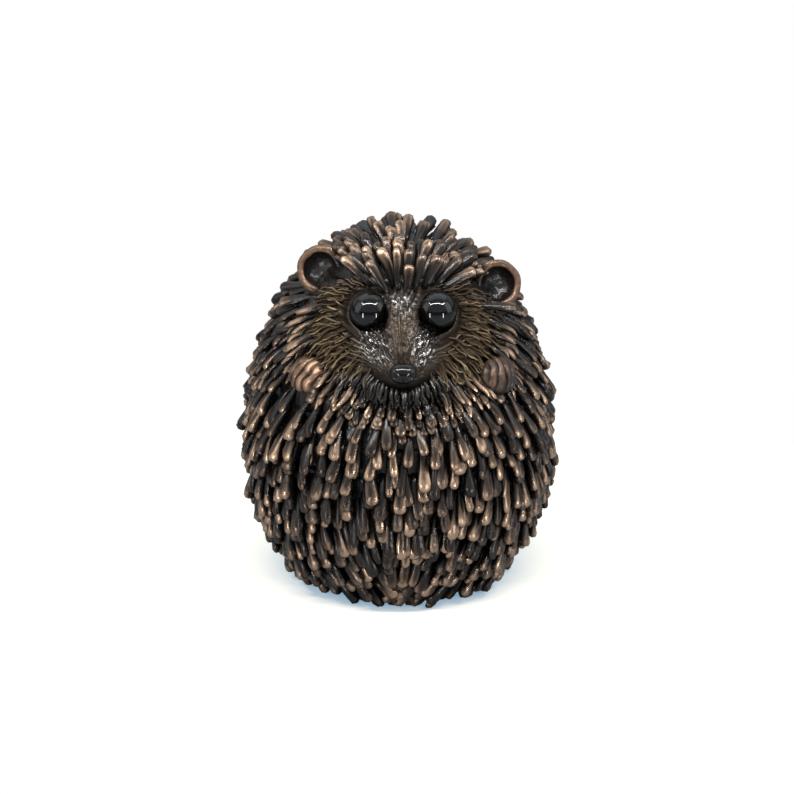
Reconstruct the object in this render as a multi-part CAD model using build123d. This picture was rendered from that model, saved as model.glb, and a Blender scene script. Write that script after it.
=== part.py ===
"""Hedgehog figurine of cold-cast bronze, sitting curled up with its face and forepaws showing.

A hollow egg-shaped shell holds a stone filler and stands on a felt pad. The quill coat lies on the
shell in tiers, one course of quills each. The face mask fills a gap in the coat and carries the glass
eyes and the nose, while the ears and forepaws sit on the coat on pegs. Millimetres, +Z up, the face
looks along -Y, and the origin is at the middle of the felt pad's underside.
"""
from build123d import *
import math
import os
import numpy as np

# Body shell, filler and felt pad
SHELL_RADIUS = 26.9
SHELL_WIDEST_HEIGHT = 30.2
SHELL_CROWN_RISE = 40.0
SHELL_BASE_RADIUS = 14.5
SHELL_WALL = 3.2
FELT_THICKNESS = 1.0
FELT_MARGIN = 0.9

# Quill coat: its tiers below and above the widest level, and the quills of one course
LOWER_TIERS = 6
UPPER_TIERS = 10
COAT_BACKING = 0.45
QUILL_PITCH = 3.4
QUILL_LENGTH = 8.0
QUILL_SHORTEST = 2.4
QUILL_ROOT_WIDTH = 1.8
QUILL_TIP_WIDTH = 2.4
QUILL_THICKNESS = 1.7
QUILL_RISE_ANGLE = 30.0
QUILL_COVER = 0.3
QUILL_ROOT_EASE = 0.35
QUILL_SPACING = 0.3
QUILL_TABLE_GAP = 0.4

# The coat flows away from the face, towards the base and a parting low on the front
BASE_SINK_DEPTH = 10.0
BASE_SINK_SHARE = 0.3
PARTING_HEIGHT = 4.0
PARTING_REACH = 25.0
PARTING_SHARE = 2.0

# Face mask: an outline round two cheeks and a chin, and a muzzle. Rises are counted from the widest level
HEAD_SHIFT = 0.8
FACE_TILT = 31.0
FACE_PIVOT_RISE = 14.0
MASK_THICKNESS = 3.4
CHEEK_SPREAD = 12.0
CHEEK_LIFT = 3.2
CHEEK_RADIUS = 9.2
CHIN_DROP = 4.2
CHIN_RADIUS = 6.6
MUZZLE_ROOT_DEPTH = 8.9
MUZZLE_ROOT_RISE = 27.8
MUZZLE_ROOT_RADIUS = 8.0
MUZZLE_TIP_PROUD = 4.1
MUZZLE_TIP_RISE = 21.6
MUZZLE_TIP_RADIUS = 2.9

# Eyes, nose, ears and forepaws. Azimuth is the angle round from the front, and latitude the angle up the
# egg's profile from its widest level
EYE_DIAMETER = 8.0
EYE_AZIMUTH = 19.0
EYE_LATITUDE = 47.0
EYE_SUNK = 0.6
EYE_PIN_DIAMETER = 1.2
EYE_PIN_INSERT = 1.5
NOSE_DIAMETER = 5.1
NOSE_PROUD = 1.6
EAR_DIAMETER = 9.0
EAR_DEPTH = 3.6
EAR_WALL = 1.1
EAR_AZIMUTH = 74.0
EAR_LATITUDE = 52.6
EAR_LEAN = 3.2
EAR_PROUD = 1.6
EAR_TURN_OUT = 24.0
EAR_TURN_UP = 22.0
PAW_AZIMUTH = 43.5
PAW_LATITUDE = 24.7
PAW_PROUD = 1.3
PAW_PEG_RAISE = 1.5
TOE_COUNT = 4
TOE_PITCH = 1.9
TOE_DIAMETER = 2.8
TOE_LENGTH = 6.4
PEG_DIAMETER = 2.4
PEG_END_WALL = 1.2

# Fits
FIT_CLEARANCE = 0.05
SEAT_CLEARANCE = 0.2

# Derived sizes. The egg's lower half is an ellipse cut off by the felt at the base radius
BASE_DROP = SHELL_WIDEST_HEIGHT - FELT_THICKNESS
KEEL_DROP = BASE_DROP / math.sqrt(1 - (SHELL_BASE_RADIUS / SHELL_RADIUS) ** 2)
QUILL_RISE = math.radians(QUILL_RISE_ANGLE)
QUILL_TILTED = QUILL_THICKNESS / 2 * math.cos(QUILL_RISE)
QUILL_BURIED = QUILL_TILTED + QUILL_COVER
QUILL_ROOT_SHIFT = (QUILL_BURIED + QUILL_TILTED) / math.tan(QUILL_RISE) / 2 - QUILL_ROOT_EASE
COAT_THICKNESS = QUILL_BURIED + QUILL_TILTED + COAT_BACKING
EYE_RADIUS = EYE_DIAMETER / 2
EYE_OFFSET = MASK_THICKNESS - EYE_SUNK
EAR_OFFSET = COAT_THICKNESS + EAR_PROUD
PAW_OFFSET = COAT_THICKNESS + PAW_PROUD
PEG_DEPTH = SHELL_WALL - PEG_END_WALL
SLANT = math.sqrt(0.5)
CROWN = math.pi / 2
PROFILE_STEPS = 180
QUILL_MARKS = 9
LEFT, RIGHT = -1, 1
SIDES = {"left": LEFT, "right": RIGHT}


# The egg: its half profile, its solid and places on its outside

def half_rise(turn):
    """The egg's half height on the side of the widest level where a profile angle lies."""
    return SHELL_CROWN_RISE if turn >= 0 else KEEL_DROP


def egg_point(turn, offset):
    """A point of the half profile in the XZ plane, offset outwards from the shell's outside."""
    radius = (SHELL_RADIUS + offset) * math.cos(turn)
    return Vector(radius, 0, SHELL_WIDEST_HEIGHT + (half_rise(turn) + offset) * math.sin(turn))


def even_turns(start, end, count, offset):
    """Profile angles that divide a stretch of the profile into equal lengths."""
    turns = [start + (end - start) * k / PROFILE_STEPS for k in range(PROFILE_STEPS + 1)]
    points = [egg_point(turn, offset) for turn in turns]
    lengths = [0.0]
    for near, far in zip(points, points[1:]):
        lengths.append(lengths[-1] + (far - near).length)
    marks = [lengths[-1] * k / count for k in range(1, count)]
    between = [turns[sum(length < mark for length in lengths)] for mark in marks]
    return [start, *between, end]


def tier_turns(offset):
    """The profile angles of the tiers' edges, from the base to the crown."""
    floor = -math.asin(BASE_DROP / (KEEL_DROP + offset))
    lower = even_turns(floor, 0, LOWER_TIERS, offset)
    upper = even_turns(0, CROWN, UPPER_TIERS, offset)
    return lower + upper[1:]


def ball_arc(rim, top):
    """An arc from a rim up to the axis, square to the axis at its top, as on a ball."""
    rise = top.Z - rim.Z
    radius = (rim.X**2 + rise**2) / (2 * rise)
    half = math.atan2(rim.X, radius - rise) / 2
    middle = (radius * math.sin(half), 0, top.Z - radius + radius * math.cos(half))
    return ThreePointArc(rim, middle, top)


def egg_arc(start, end, offset):
    """One stretch of the profile, as an arc through three of its points, or a ball's at the crown."""
    if end == CROWN:
        return ball_arc(egg_point(start, offset), Vector(0, 0, egg_point(end, offset).Z))
    return ThreePointArc(*[egg_point(turn, offset) for turn in (start, (start + end) / 2, end)])


def egg(offset):
    """The whole egg as a solid with a flat base on top of the felt."""
    turns = tier_turns(offset)
    arcs = [egg_arc(low, high, offset) for low, high in zip(turns, turns[1:])]
    foot, top = arcs[0] @ 0, arcs[-1] @ 1
    middle = Vector(0, 0, foot.Z)
    return revolve(make_face([*arcs, Line(top, middle), Line(middle, foot)]), Axis.Z)


def egg_seat(turn, azimuth, offset):
    """A point on the offset egg, and its outward normal. Azimuth 0 is the front, 90 is +X."""
    flat = egg_point(turn, offset)
    across = math.cos(turn) / (SHELL_RADIUS + offset)
    out = Vector(across, 0, math.sin(turn) / (half_rise(turn) + offset)).normalized()
    sine, cosine = math.sin(math.radians(azimuth)), math.cos(math.radians(azimuth))
    return Vector(flat.X * sine, -flat.X * cosine, flat.Z), Vector(out.X * sine, -out.X * cosine, out.Z)


def head_seat(azimuth, latitude, offset):
    """As egg_seat, in degrees, and shifted sideways as the whole head is."""
    point, normal = egg_seat(math.radians(latitude), azimuth, offset)
    return point + Vector(HEAD_SHIFT, 0, 0), normal


# Small shapes that several pieces share

def peg(start, direction, diameter, length):
    """A round peg that runs from a point along a direction."""
    return Plane(start, z_dir=direction) * extrude(Circle(diameter / 2), length)


def dome(radius, height):
    """A ball's cap that stands on the origin."""
    wall = ball_arc(Vector(radius, 0, 0), Vector(0, 0, height))
    return revolve(make_face([wall, Line(wall @ 1, (0, 0, 0)), Line((0, 0, 0), wall @ 0)]), Axis.Z)


def grown(diameter, growth):
    return diameter + 2 * growth


# Face mask, eyes and nose

FACE_NORMAL = Vector(0, -math.cos(math.radians(FACE_TILT)), math.sin(math.radians(FACE_TILT)))
FACE_PLANE = Plane((HEAD_SHIFT, 0, SHELL_WIDEST_HEIGHT + FACE_PIVOT_RISE), (1, 0, 0), FACE_NORMAL)
FACE_CENTRE = FACE_PLANE.origin + FACE_NORMAL * SHELL_RADIUS
MUZZLE_ROOT = Vector(HEAD_SHIFT, MUZZLE_ROOT_DEPTH - SHELL_RADIUS, SHELL_WIDEST_HEIGHT + MUZZLE_ROOT_RISE)
MUZZLE_TIP = Vector(HEAD_SHIFT, -SHELL_RADIUS - MUZZLE_TIP_PROUD, SHELL_WIDEST_HEIGHT + MUZZLE_TIP_RISE)
MUZZLE_AXIS = (MUZZLE_TIP - MUZZLE_ROOT).normalized()


def face_column(growth):
    """The column along the face's axis that bounds the mask."""
    cheeks = [Pos(side * CHEEK_SPREAD, CHEEK_LIFT) * Circle(CHEEK_RADIUS + growth) for side in SIDES.values()]
    chin = Pos(0, -CHIN_DROP) * Circle(CHIN_RADIUS + growth)
    outline = make_hull([*cheeks[0].edges(), *cheeks[1].edges(), *chin.edges()])
    return FACE_PLANE * extrude(outline, SHELL_RADIUS + SHELL_CROWN_RISE)


def eye_place(side):
    return head_seat(side * EYE_AZIMUTH, EYE_LATITUDE, EYE_OFFSET)


def eye_ball(side, growth=0.0):
    centre, _ = eye_place(side)
    return Pos(centre) * Sphere(EYE_RADIUS + growth)


def eye_pin(side, growth=0.0):
    """The wire pin, from inside the glass to near the inside of the shell."""
    centre, normal = eye_place(side)
    inside = EYE_RADIUS - EYE_PIN_INSERT
    length = EYE_OFFSET + PEG_DEPTH - inside
    return peg(centre - normal * inside, -normal, grown(EYE_PIN_DIAMETER, growth), length + growth)


def nose_ball(growth=0.0):
    centre = MUZZLE_TIP + MUZZLE_AXIS * (NOSE_PROUD - NOSE_DIAMETER / 2)
    return Pos(centre) * Sphere(NOSE_DIAMETER / 2 + growth)


def make_face_mask(shell_egg):
    """The mask over the shell with its muzzle, and room for the eyes, pins, nose, paws, pegs and ears."""
    muzzle = Plane(MUZZLE_ROOT, z_dir=MUZZLE_AXIS) * Cone(
        MUZZLE_ROOT_RADIUS,
        MUZZLE_TIP_RADIUS,
        (MUZZLE_TIP - MUZZLE_ROOT).length,
        align=(Align.CENTER, Align.CENTER, Align.MIN),
    )
    mask = (egg(MASK_THICKNESS) & face_column(0)) + muzzle - shell_egg - nose_ball(FIT_CLEARANCE)
    for side in SIDES.values():
        mask -= eye_ball(side, FIT_CLEARANCE)
        mask -= eye_pin(side, FIT_CLEARANCE)
        mask -= paw_toes(side, SEAT_CLEARANCE)
        mask -= paw_peg(side, FIT_CLEARANCE)
        mask -= ear_dome(side, SEAT_CLEARANCE)
        mask -= ear_peg(side, FIT_CLEARANCE)
    return mask


# Ears and forepaws

def ear_place(side):
    """The middle of an ear's cup: the head leans, so the left ear is the higher."""
    return head_seat(side * EAR_AZIMUTH, EAR_LATITUDE - side * EAR_LEAN, EAR_OFFSET)


def ear_facing(side):
    out, up = side * math.radians(EAR_TURN_OUT), math.radians(EAR_TURN_UP)
    return Vector(math.sin(out) * math.cos(up), -math.cos(out) * math.cos(up), math.sin(up))


def ear_peg(side, growth=0.0):
    """The peg at the back of the cup, through the coat and into the shell."""
    centre, normal = ear_place(side)
    start = centre - ear_facing(side) * (EAR_DEPTH - PEG_DIAMETER) / 2
    return peg(start, -normal, grown(PEG_DIAMETER, growth), EAR_OFFSET + PEG_DEPTH + growth)


def ear_dome(side, growth=0.0):
    """A dome behind the ear's rim, which faces forwards, outwards and up."""
    centre, _ = ear_place(side)
    facing = ear_facing(side)
    rim = Plane(centre + facing * EAR_DEPTH / 2, z_dir=-facing)
    return rim * dome(EAR_DIAMETER / 2 + growth, EAR_DEPTH + growth)


def make_ear(side, coat_egg):
    """A cup that is cut to sit on the coat, with its peg."""
    outside, hollow = ear_dome(side) - coat_egg, ear_dome(side, -EAR_WALL) - coat_egg
    return outside + ear_peg(side) - hollow


def paw_place(side):
    return head_seat(side * PAW_AZIMUTH, PAW_LATITUDE, PAW_OFFSET)


def paw_directions(normal):
    """Across the toes and along them."""
    across = Vector(0, 0, 1).cross(normal).normalized()
    return across, normal.cross(across)


def paw_peg(side, growth=0.0):
    """The peg behind the paw's upper part, through the coat and into the shell."""
    centre, normal = paw_place(side)
    start = centre + paw_directions(normal)[1] * PAW_PEG_RAISE
    return peg(start, -normal, grown(PEG_DIAMETER, growth), PAW_OFFSET + PEG_DEPTH + growth)


def capsule(centre, axis, diameter, length):
    """A rod with round ends."""
    radius, reach = diameter / 2, length / 2 - diameter / 2
    low, high = (0, 0, -reach - radius), (0, 0, reach + radius)
    bottom = ThreePointArc(low, (radius * SLANT, 0, -reach - radius * SLANT), (radius, 0, -reach))
    top = ThreePointArc((radius, 0, reach), (radius * SLANT, 0, reach + radius * SLANT), high)
    profile = make_face([bottom, Line(bottom @ 1, top @ 0), top, Line(high, low)])
    return Plane(centre, z_dir=axis) * revolve(profile, Axis.Z)


def paw_toes(side, growth=0.0):
    """The toes side by side, each a round-ended rod that stands upright on the coat."""
    centre, normal = paw_place(side)
    across, upright = paw_directions(normal)
    toes = []
    for k in range(TOE_COUNT):
        place = centre + across * TOE_PITCH * (k - (TOE_COUNT - 1) / 2)
        toes.append(capsule(place, upright, grown(TOE_DIAMETER, growth), grown(TOE_LENGTH, growth)))
    return toes[0].fuse(*toes[1:])


def make_paw(side, coat_egg):
    return paw_toes(side) - coat_egg + paw_peg(side)


# Quill coat

def flow(point, normal):
    """The way the quills lie at a point: away from the face, to the base and the parting."""
    base = Vector(0, 0, -BASE_SINK_DEPTH)
    parting = Vector(0, -PARTING_REACH, PARTING_HEIGHT)
    poles = [(FACE_CENTRE, 1.0), (base, -BASE_SINK_SHARE), (parting, -PARTING_SHARE)]
    pull = Vector(0, 0, 0)
    for pole, share in poles:
        arm = point - pole
        pull += arm * (share / arm.dot(arm))
    return (pull - normal * pull.dot(normal)).normalized()


def quill_line(low, high, azimuth):
    """A quill's root inside the coat, its axis, its length and its sideways direction."""
    middle = (low + high) / 2
    point, normal = egg_seat(middle, azimuth, COAT_THICKNESS)
    way = flow(point, normal)
    tier_width = (egg_point(high, COAT_THICKNESS) - egg_point(low, COAT_THICKNESS)).length
    upwards = (egg_seat(high, azimuth, COAT_THICKNESS)[0] - point).normalized()
    shift = -way.dot(upwards) * QUILL_ROOT_SHIFT * (high - low) / tier_width
    point, normal = egg_seat(middle + shift, azimuth, COAT_THICKNESS)
    way = flow(point, normal)
    axis = way * math.cos(QUILL_RISE) + normal * math.sin(QUILL_RISE)
    sideways = normal.cross(way)
    root = point - normal * QUILL_BURIED
    length = QUILL_LENGTH
    if axis.Z < 0:
        corner = QUILL_TIP_WIDTH / 2 * abs(sideways.Z) + QUILL_THICKNESS / 2 * abs(sideways.cross(axis).Z)
        length = min(length, (root.Z - corner - QUILL_TABLE_GAP) / -axis.Z)
    return root, axis, length, sideways


def quill(root, axis, length, sideways):
    """A four-sided quill that widens to its blunt tip."""
    edge = (QUILL_ROOT_WIDTH - QUILL_TIP_WIDTH) / 2
    sizes = (QUILL_ROOT_WIDTH, length, QUILL_THICKNESS)
    wedge = Solid.make_wedge(*sizes, edge, 0, QUILL_ROOT_WIDTH - edge, QUILL_THICKNESS)
    place = Plane(root, x_dir=sideways, z_dir=sideways.cross(axis))
    return place * Pos(-QUILL_ROOT_WIDTH / 2, 0, -QUILL_THICKNESS / 2) * wedge


def axis_points(line):
    """Points along a quill's axis, from its root to its tip, one a row."""
    root, axis, length, _ = line
    marks = np.linspace(0, length, QUILL_MARKS)[:, None]
    return np.array(tuple(root)) + marks * np.array(tuple(axis))


def least_gap(points, others):
    """The least distance from some points to any of the others."""
    if len(others) == 0:
        return math.inf
    return np.linalg.norm(points[:, None] - np.asarray(others)[None], axis=-1).min()


def clear_of_head(points, keep_out):
    """Whether a quill stays clear of the mask's column, the ears and the forepaws."""
    column, balls = keep_out
    if column.is_inside(Vector(*points[0])) or column.is_inside(Vector(*points[-1])):
        return False
    return all(least_gap(points, [tuple(centre)]) > reach for centre, reach in balls)


def make_keep_out():
    """The space that quills leave to the head's pieces, wider by half a quill."""
    half = QUILL_TIP_WIDTH / 2 + SEAT_CLEARANCE
    balls = []
    for side in SIDES.values():
        balls.append((ear_place(side)[0], EAR_DIAMETER / 2 + half))
        balls.append((paw_place(side)[0], math.hypot(TOE_PITCH * (TOE_COUNT - 1), TOE_LENGTH) / 2 + half))
    return face_column(half), balls


def course(index, low, high, keep_out, laid):
    """The quills of one tier, evenly round it and staggered, that clear the head and each other."""
    radius = egg_point((low + high) / 2, COAT_THICKNESS).X
    count = max(1, round(2 * math.pi * radius / QUILL_PITCH))
    near = math.hypot(QUILL_TIP_WIDTH, QUILL_THICKNESS) / 2 + QUILL_THICKNESS / 2 + QUILL_SPACING
    lines = []
    for k in range(count):
        line = quill_line(low, high, 360.0 * (k + index % 2 / 2) / count)
        points = axis_points(line)
        if line[2] < QUILL_SHORTEST or not clear_of_head(points, keep_out):
            continue
        if least_gap(points, laid) > near:
            lines.append(line)
            laid.extend(points)
    return lines


def tier_strip(inner, outer):
    """The tier's backing: the strip between two profile arcs, turned about the axis."""
    inside, outside = egg_arc(*inner, 0), egg_arc(*outer, COAT_THICKNESS)
    edges = [inside, Line(inside @ 1, outside @ 1), outside, Line(outside @ 0, inside @ 0)]
    return revolve(make_face(edges), Axis.Z)


def make_tiers():
    """Every tier of the coat, from the base up, each its backing with its quills fused on."""
    cuts = [face_column(SEAT_CLEARANCE)]
    for side in SIDES.values():
        cuts += [ear_peg(side, FIT_CLEARANCE), paw_peg(side, FIT_CLEARANCE)]
    keep_out = make_keep_out()
    inner, outer = tier_turns(0), tier_turns(COAT_THICKNESS)
    tiers, laid = [], []
    for index in range(LOWER_TIERS + UPPER_TIERS):
        strip = tier_strip(inner[index:index + 2], outer[index:index + 2])
        if index >= LOWER_TIERS:
            strip = strip.cut(*cuts)
        lines = course(index, *outer[index:index + 2], keep_out, laid)
        tiers.append(strip.fuse(*[quill(*line) for line in lines]))
        print(f"tier {index + 1}: {len(lines)} quills")
    return tiers


# Shell, filler and felt

def make_shell(shell_egg, filler):
    """The hollow shell, with holes for the pegs and pins and hollows behind the eyes."""
    shell = shell_egg - filler
    for side in SIDES.values():
        shell -= eye_ball(side, FIT_CLEARANCE)
        shell -= eye_pin(side, FIT_CLEARANCE)
        shell -= ear_peg(side, FIT_CLEARANCE)
        shell -= paw_peg(side, FIT_CLEARANCE)
    return shell


def make_felt():
    foot = egg_point(tier_turns(COAT_THICKNESS)[0], COAT_THICKNESS).X
    return extrude(Circle(foot - FELT_MARGIN), FELT_THICKNESS)


def main():
    shell_egg, coat_egg, filler = egg(0), egg(COAT_THICKNESS), egg(-SHELL_WALL)
    pieces = {
        "body_shell": make_shell(shell_egg, filler),
        "stone_filler": filler,
        "felt_pad": make_felt(),
        "face_mask": make_face_mask(shell_egg),
        "nose": nose_ball(),
    }
    for name, side in SIDES.items():
        pieces[f"{name}_eye"] = eye_ball(side) - eye_pin(side, FIT_CLEARANCE)
        pieces[f"{name}_eye_pin"] = eye_pin(side)
        pieces[f"{name}_ear"] = make_ear(side, coat_egg)
        pieces[f"{name}_forepaw"] = make_paw(side, coat_egg)
    for number, tier in enumerate(make_tiers(), 1):
        pieces[f"quill_tier_{number:02d}"] = tier
    os.makedirs("parts", exist_ok=True)
    for name, piece in pieces.items():
        export_step(piece, f"parts/{name}.step")


main()
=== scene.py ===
import bmesh
import bpy
import math
import mathutils
import numpy as np
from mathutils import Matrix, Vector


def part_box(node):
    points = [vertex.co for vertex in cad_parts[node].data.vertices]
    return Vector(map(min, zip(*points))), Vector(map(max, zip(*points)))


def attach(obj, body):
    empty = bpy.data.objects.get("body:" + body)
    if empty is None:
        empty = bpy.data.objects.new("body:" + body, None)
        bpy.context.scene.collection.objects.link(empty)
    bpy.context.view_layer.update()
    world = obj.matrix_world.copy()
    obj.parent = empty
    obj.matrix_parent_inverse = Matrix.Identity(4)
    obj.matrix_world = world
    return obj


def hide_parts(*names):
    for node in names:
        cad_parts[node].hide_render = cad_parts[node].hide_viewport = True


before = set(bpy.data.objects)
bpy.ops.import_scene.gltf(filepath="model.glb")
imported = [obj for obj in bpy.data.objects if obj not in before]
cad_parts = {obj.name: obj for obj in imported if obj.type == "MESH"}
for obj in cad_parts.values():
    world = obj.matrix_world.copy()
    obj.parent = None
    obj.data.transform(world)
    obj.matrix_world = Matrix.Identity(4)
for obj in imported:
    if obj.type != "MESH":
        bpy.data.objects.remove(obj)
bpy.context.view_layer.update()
mm = 0.001  # every size below is in millimetres, and meshes are written in metres
xAxis, upAxis = np.array([1.0, 0.0, 0.0]), np.array([0.0, 0.0, 1.0])
handSigns = {"left": -1, "right": 1}  # which way the viewer's left and right lie along X


# Small tools: colours, arrays and meshes

def linearColour(hexText):  # sRGB hex to the linear colour that a socket takes
    parts = np.array([int(hexText[k:k + 2], 16) for k in (1, 3, 5)]) / 255
    linear = np.where(parts <= 0.04045, parts / 12.92, ((parts + 0.055) / 1.055) ** 2.4)
    return (*linear.tolist(), 1.0)


def unit(vectors):
    return vectors / np.maximum(np.linalg.norm(vectors, axis=-1, keepdims=True), 1e-12)


def dot(first, second):
    return np.sum(first * second, axis=-1, keepdims=True)


def ease(low, high, values):  # 0 below low, 1 above high, and a smooth S between
    share = np.clip((values - low) / (high - low), 0, 1)
    return share * share * (3 - 2 * share)


def bell(values, middle, width):
    return np.exp(-(((values - middle) / width) ** 2))


def valueNoise(x, y, seed, period=64):  # random values on a lattice, eased from one to the next, 0 to 1
    table = np.random.default_rng(seed).random((period, 64))
    left, low = np.floor(x).astype(int), np.floor(y).astype(int)
    across, up = ease(0, 1, x - left), ease(0, 1, y - low)
    corner = [[table[(left + i) % period, (low + j) % 64] for j in (0, 1)] for i in (0, 1)]
    near = corner[0][0] * (1 - across) + corner[1][0] * across
    far = corner[0][1] * (1 - across) + corner[1][1] * across
    return near * (1 - up) + far * up


def gridFaces(rows, columns, wrapRows=False):  # quads between neighbours of a grid whose columns go round
    row = np.arange(rows if wrapRows else rows - 1)[:, None]
    column = np.arange(columns)[None]
    nextRow, nextColumn = (row + 1) % rows, (column + 1) % columns
    quads = [row * columns + column, row * columns + nextColumn,
             nextRow * columns + nextColumn, nextRow * columns + column]
    return np.stack(np.broadcast_arrays(*quads), -1).reshape(-1, 4)


def runLengths(points):  # the length run along a line of points, from 0
    return np.concatenate([[0], np.cumsum(np.linalg.norm(np.diff(points, axis=0), axis=1))])


def drawEach(ranges, count, rng):  # for each key, one random value a copy, evenly spread over its range
    return {key: rng.uniform(low, high, count) for key, (low, high) in ranges.items()}


def addPiece(name, points, faces, attributes, material, slot, replaced=(), mergePoles=False):
    mesh = bpy.data.meshes.new(name)
    places = (np.asarray(points).reshape(-1, 3) * mm).tolist()
    mesh.from_pydata(places, [], [face.tolist() for part in faces for face in part])
    for key, values in attributes.items():
        values = np.asarray(values, np.float32).reshape(len(places), -1)
        kind, field = ("FLOAT", "value") if values.shape[1] == 1 else ("FLOAT_VECTOR", "vector")
        mesh.attributes.new(key, kind, "POINT").data.foreach_set(field, values.ravel())
    if mergePoles:
        work = bmesh.new()
        work.from_mesh(mesh)
        bmesh.ops.remove_doubles(work, verts=work.verts, dist=1e-7)
        bmesh.ops.recalc_face_normals(work, faces=work.faces)
        work.to_mesh(mesh)
        work.free()
    mesh.polygons.foreach_set("use_smooth", np.ones(len(mesh.polygons), bool))
    mesh.materials.append(material)
    piece = bpy.data.objects.new(name, mesh)
    bpy.context.scene.collection.objects.link(piece)
    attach(piece, "root")
    if replaced:
        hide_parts(*replaced)


def addGrid(name, points, *rest):  # a piece that is one grid of points from pole to pole
    addPiece(name, points, [gridFaces(*points.shape[:2])], *rest, mergePoles=True)


# Materials

def addNode(tree, kind, inputs=None, **settings):  # one node, its settings, and each input's value or link
    node = tree.nodes.new(kind)
    for key, value in settings.items():
        setattr(node, key, value)
    for key, value in (inputs or {}).items():
        if isinstance(value, bpy.types.NodeSocket):
            tree.links.new(value, node.inputs[key])
        else:
            node.inputs[key].default_value = value
    return node


def newMaterial(name):  # the material, its empty tree and the place on the object that patterns are laid by
    material = bpy.data.materials.new(name)
    material.use_nodes = True
    material.node_tree.nodes.clear()
    return material, material.node_tree, addNode(material.node_tree, "ShaderNodeTexCoord").outputs["Object"]


def finishMaterial(material, shader):
    addNode(material.node_tree, "ShaderNodeOutputMaterial", {"Surface": shader.outputs[0]})
    return material


def addNoise(tree, place, size, detail, roughness=0.5):  # features about this many millimetres wide
    return addNode(tree, "ShaderNodeTexNoise", {
        "Vector": place, "Scale": 1 / (size * mm), "Detail": detail, "Roughness": roughness}).outputs["Fac"]


def addRange(tree, value, ends, span=(0.0, 1.0), kind="LINEAR"):  # a value moved from span to ends
    return addNode(tree, "ShaderNodeMapRange", {
        "Value": value, "From Min": span[0], "From Max": span[1], "To Min": ends[0], "To Max": ends[1]},
        interpolation_type=kind).outputs["Result"]


def addRamp(tree, value, first, last, between=()):  # a colour that runs through hex stops
    ramp = addNode(tree, "ShaderNodeValToRGB", {"Fac": value})
    stops = ramp.color_ramp.elements
    stops[0].color, stops[1].color = linearColour(first), linearColour(last)
    for position, hexText in between:
        stops.new(position).color = linearColour(hexText)
    return ramp.outputs["Color"]


def patinatedBronze(name, look):
    # Bronze powder cast in resin, dipped in a dark patina, rubbed back on what stands proud, then lacquered:
    # near-black hollows, warm metal on the raised parts, a clear wet gloss over both, and painted glints:
    # pale spots on the rubbed tops where the lacquer is wet
    material, tree, place = newMaterial(name)
    rub = addNode(tree, "ShaderNodeAttribute", attribute_name="rub").outputs["Fac"]
    grain = addNode(tree, "ShaderNodeAttribute", attribute_name="grain").outputs["Vector"]
    wet = addNode(tree, "ShaderNodeAttribute", attribute_name="wet").outputs["Fac"]
    streakPlace = addNode(tree, "ShaderNodeMapping", {"Vector": grain, "Scale": look["streakStretch"]})
    streak = addNode(tree, "ShaderNodeTexNoise", {
        "Vector": streakPlace.outputs["Vector"], "Scale": look["streakScale"],
        "Detail": 3.0, "Roughness": 0.6}).outputs["Fac"]
    cloud = addNoise(tree, place, look["cloudSize"], 4.0, 0.65)
    pit = addNoise(tree, place, look["pitSize"], 2.0)
    uneven = addNode(tree, "ShaderNodeMath", {0: streak, 1: cloud}, operation="ADD")
    shifted = addNode(tree, "ShaderNodeMath", {0: uneven.outputs[0], 1: look["unevenness"], 2: rub},
                      operation="MULTIPLY_ADD")
    rubSpan = [look[key] + look["unevenness"] for key in ("rubFrom", "rubTo")]
    rubbed = addRange(tree, shifted.outputs[0], (0.0, 1.0), rubSpan, "SMOOTHSTEP")
    colour = addRamp(tree, rubbed, look["patina"], look["bright"], look["between"])
    # Painted glints: where the lacquer is wet, the rubbed tops are mixed towards a pale colour that stands in
    # for the lacquer's glints. A colour mix takes its share at 0, its colours at 6 and 7
    paintedGlint = addNode(tree, "ShaderNodeMath", {0: wet, 1: rubbed}, operation="MULTIPLY")
    tint = addNode(tree, "ShaderNodeMix", {
        0: paintedGlint.outputs[0], 6: colour, 7: linearColour(look["paintedGlint"])}, data_type="RGBA")
    roughEnds = (look["roughness"] - 0.08, look["roughness"] + 0.1)
    rough = addRange(tree, cloud, roughEnds, (0.3, 0.7))  # most of the noise lies in this span
    smooth = addNode(tree, "ShaderNodeMath", {0: wet, 1: -0.2, 2: rough}, operation="MULTIPLY_ADD")
    streakBump = addNode(tree, "ShaderNodeBump", {
        "Height": streak, "Strength": look["streakBump"], "Distance": look["streakDepth"] * mm})
    pitBump = addNode(tree, "ShaderNodeBump", {
        "Height": pit, "Normal": streakBump.outputs["Normal"], "Distance": look["pitDepth"] * mm,
        "Strength": addRange(tree, wet, (look["pitBump"], look["wetPitBump"]))})
    return finishMaterial(material, addNode(tree, "ShaderNodeBsdfPrincipled", {
        "Base Color": tint.outputs[2], "Roughness": smooth.outputs[0], "Normal": pitBump.outputs["Normal"],
        "Metallic": addRange(tree, rubbed, (look["patinaMetal"], look["brightMetal"])),
        "Coat Weight": addRange(tree, wet, (look["lacquer"], 1.0)),
        "Coat Roughness": look["lacquerRoughness"], "Coat Normal": pitBump.outputs["Normal"]}))


def glossBlack(name, look):
    # Black glass and black lacquer: no colour of its own, a mirror-smooth skin with faint finger smears
    material, tree, place = newMaterial(name)
    smear = addNoise(tree, place, look["smearSize"], 3.0)
    bump = addNode(tree, "ShaderNodeBump", {
        "Height": smear, "Strength": look["bump"], "Distance": look["bumpDepth"] * mm})
    return finishMaterial(material, addNode(tree, "ShaderNodeBsdfPrincipled", {
        "Base Color": addRamp(tree, smear, look["black"], look["haze"]), "IOR": look["ior"],
        "Roughness": addRange(tree, smear, (look["roughness"], look["smearRoughness"]), (0.35, 0.75)),
        "Normal": bump.outputs["Normal"]}))


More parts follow.
